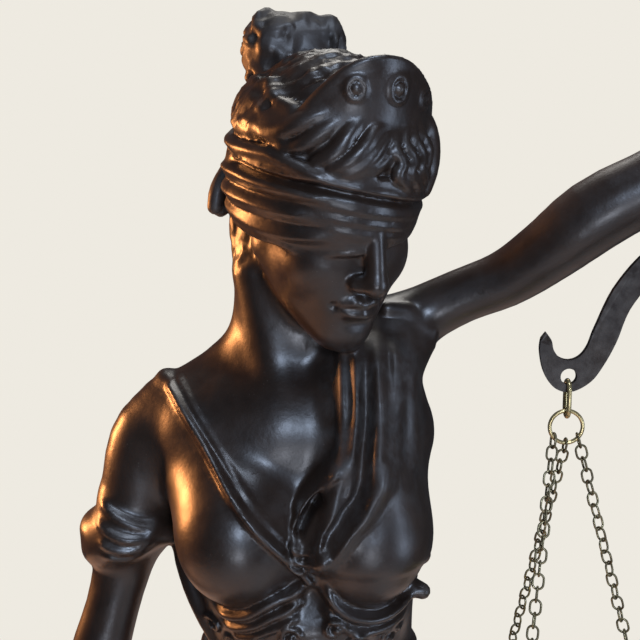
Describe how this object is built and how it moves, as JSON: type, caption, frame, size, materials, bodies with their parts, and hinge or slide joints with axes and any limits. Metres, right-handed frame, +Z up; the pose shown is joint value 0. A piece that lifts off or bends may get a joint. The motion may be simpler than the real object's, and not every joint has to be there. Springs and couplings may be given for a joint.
{
  "type": "lady justice statue",
  "caption": "Standing blindfolded woman in draped cloth on a low round plinth, holding up a pair of chained scales and lowering a sword; an ornament that stands by its own weight.",
  "frame": {"origin": "middle of the plinth's underside", "axes": "+Z up, the figure faces -Y, and her raised left arm is towards +X"},
  "size_m": [0.3162, 0.168, 0.5829],
  "materials": {
    "bronze_patina": "very dark brown bronze patina, satin",
    "dark_metal": "dark brown paint, satin",
    "old_brass": "aged brass, satin",
    "chain_brass": "darkened brass, satin"
  },
  "bodies": {
    "root": {"figure": "bronze_patina", "plinth": "bronze_patina", "sword": "dark_metal", "scale_beam": "dark_metal", "inner_connector": "old_brass", "outer_connector": "old_brass", "inner_ring": "old_brass", "outer_ring": "old_brass", "inner_chain_1": "chain_brass", "inner_chain_2": "chain_brass", "inner_chain_3": "chain_brass", "outer_chain_1": "chain_brass", "outer_chain_2": "chain_brass", "outer_chain_3": "chain_brass", "inner_pan": "old_brass", "outer_pan": "old_brass"}
  },
  "joints": []
}
